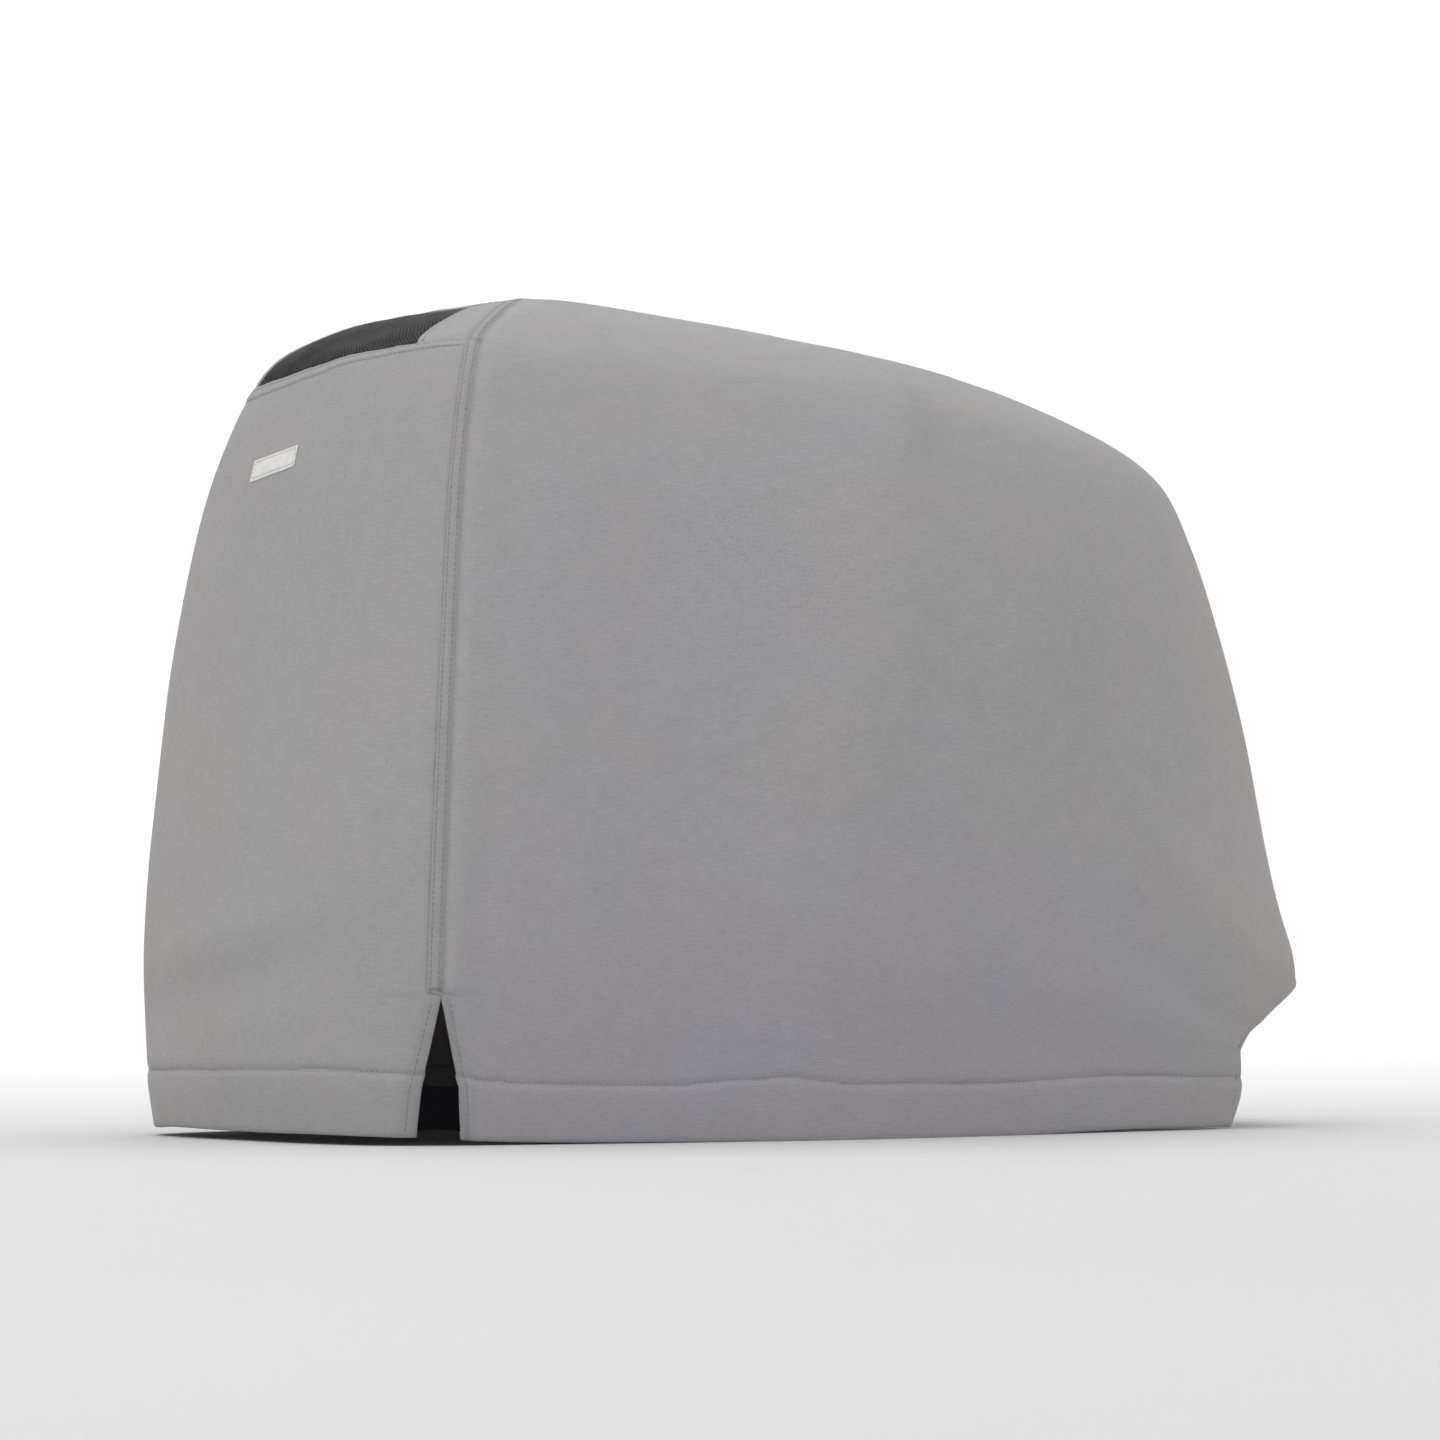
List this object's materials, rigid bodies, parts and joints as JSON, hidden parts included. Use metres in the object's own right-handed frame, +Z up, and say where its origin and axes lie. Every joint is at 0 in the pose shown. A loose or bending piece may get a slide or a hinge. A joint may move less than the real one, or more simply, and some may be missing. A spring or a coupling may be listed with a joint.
{
  "type": "outboard motor cover",
  "caption": "Fitted grey cloth cover for an outboard motor's cowl: three sewn panels with a mesh vent behind the crown, elastic at the foot of the corner seams and an arch cut out in front.",
  "frame": {"origin": "middle of the cover's outline in plan, on the level of the lowest point of its hem", "axes": "+Z up; +Y forward, from the rear panel with the vent to the arch cut out in front; +X to starboard, the side with the clear seam in the picture"},
  "size_m": [0.5253, 0.7801, 0.5697],
  "materials": {
    "canvas": "matt woven",
    "mesh": "open mesh",
    "elastic": "ribbed",
    "label": "satin woven"
  },
  "bodies": {
    "root": {"side_panel_starboard": "canvas", "side_panel_port": "canvas", "rear_panel": "canvas", "vent_surround": "canvas", "vent_mesh": "mesh", "elastic_starboard": "elastic", "elastic_port": "elastic", "label": "label"}
  },
  "joints": []
}
